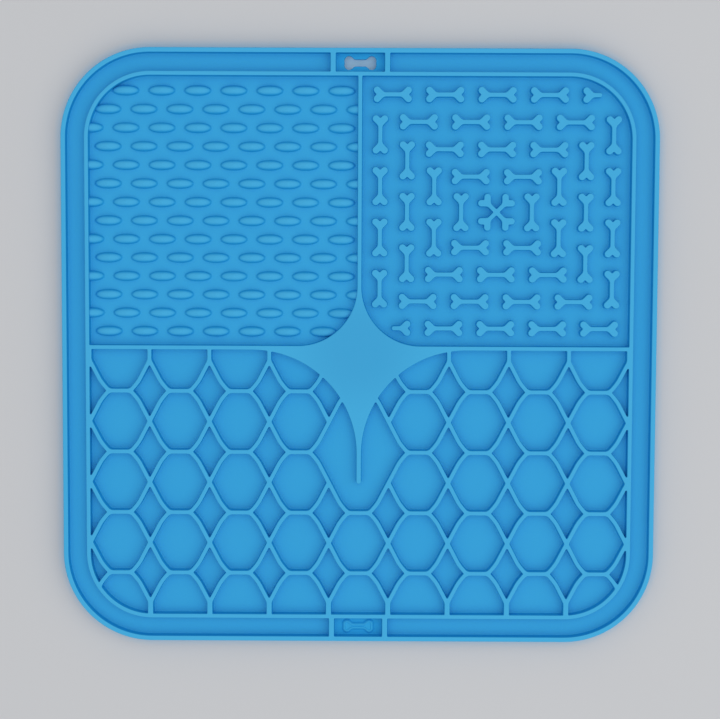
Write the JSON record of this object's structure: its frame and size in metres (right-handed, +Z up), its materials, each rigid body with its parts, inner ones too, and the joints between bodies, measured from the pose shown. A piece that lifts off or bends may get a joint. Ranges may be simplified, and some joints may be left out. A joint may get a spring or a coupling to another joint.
{
  "type": "lick mat",
  "caption": "Square silicone lick mat with rounded corners: fields of ovals, small bones and honeycomb round a star, a channel with a bone-shaped hanging hole, and suction cups below.",
  "frame": {"origin": "middle of the mat, on the surface that its suction cups rest on", "axes": "+Z up out of the licking face, +Y towards the tab with the hanging hole, +X to the right of the bone field"},
  "size_m": [0.2, 0.2, 0.0064],
  "materials": {
    "silicone": "satin moulded silicone, bright blue, slightly translucent"
  },
  "bodies": {
    "root": {"base_sheet": "silicone", "hanger_panel": "silicone", "outer_rim": "silicone", "inner_wall": "silicone", "hanger_ribs": "silicone", "badge_ribs": "silicone", "bone_badge": "silicone", "upright_divider": "silicone", "cross_divider": "silicone", "centre_star": "silicone", "oval_nubs": "silicone", "level_bones": "silicone", "upright_bones": "silicone", "half_bones": "silicone", "crossed_bones": "silicone", "comb_bars": "silicone", "comb_rising_ribs": "silicone", "comb_falling_ribs": "silicone", "comb_top_posts": "silicone", "comb_bottom_posts": "silicone", "suction_cups": "silicone"}
  },
  "joints": []
}
